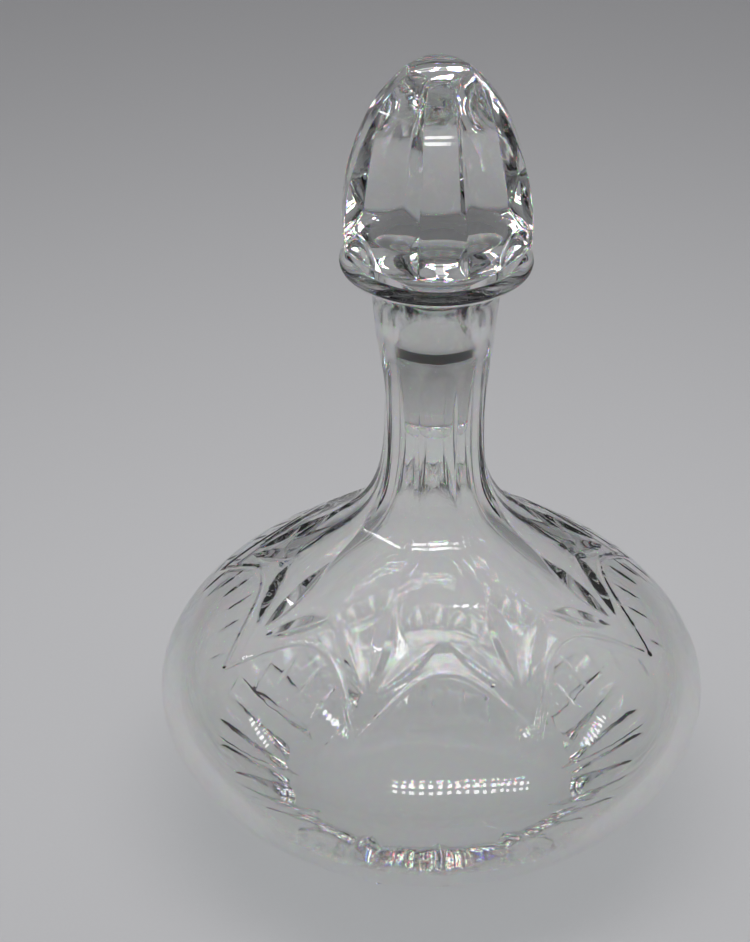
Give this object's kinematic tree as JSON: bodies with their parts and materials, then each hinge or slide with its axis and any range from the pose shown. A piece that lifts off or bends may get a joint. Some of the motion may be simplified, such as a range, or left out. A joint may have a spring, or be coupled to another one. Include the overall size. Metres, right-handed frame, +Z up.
{
  "type": "wine decanter",
  "caption": "Wide-bowled cut crystal wine decanter with a fluted neck, rolled lip and lobed foot, closed by a lift-out stopper with a faceted bullet-shaped head.",
  "frame": {"origin": "centre of the foot, on the plane the decanter stands on", "axes": "+Z up along the neck and stopper; -Y is the side with a neck flute facing the viewer, 3 degrees off"},
  "size_m": [0.185, 0.185, 0.2775],
  "materials": {
    "body_crystal": "polished colourless lead crystal, hand cut",
    "stopper_crystal": "polished colourless lead crystal, hand cut, with a ground band on the plug"
  },
  "bodies": {
    "decanter": {"decanter_body": "body_crystal"},
    "stopper": {"stopper": "stopper_crystal"}
  },
  "joints": [
    {"name": "stopper_lift", "type": "slide", "parent": "decanter", "child": "stopper", "axis": [0, 0, 1], "range_m": [0, 0.1]}
  ]
}
